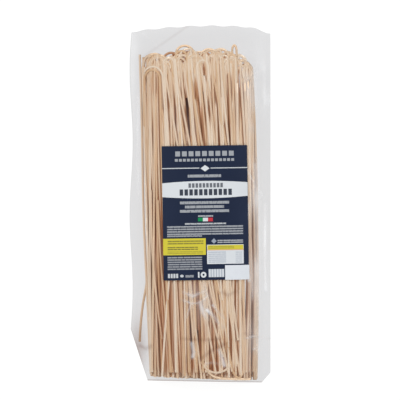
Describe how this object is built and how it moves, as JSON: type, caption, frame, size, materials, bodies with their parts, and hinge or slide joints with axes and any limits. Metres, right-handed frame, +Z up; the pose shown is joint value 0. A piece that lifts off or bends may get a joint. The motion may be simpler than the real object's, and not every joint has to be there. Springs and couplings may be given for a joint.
{
  "type": "bag of dry spaghetti",
  "caption": "Clear sealed bag of dry spaghetti lying on its back: looped and cut strand ends under a flat film flap, a dark label on the front and a small blank sticker at its corner.",
  "frame": {"origin": "under the middle of the bag, on the surface that it lies on", "axes": "+X is the label's right, +Y runs along the strands from the bag's folded base to its flat top, +Z is up, out of the label"},
  "size_m": [0.1116, 0.2828, 0.0291],
  "materials": {
    "pasta_in_film": "dry durum wheat pasta, matt and slightly rough",
    "clear_film": "clear glossy packing film with soft creases",
    "label_paper": "dark blue printed label, satin",
    "sticker_paper": "blank white paper sticker, matt"
  },
  "bodies": {
    "root": {"spaghetti_bag": "pasta_in_film", "label": "label_paper", "blank_sticker": "sticker_paper"}
  },
  "joints": []
}
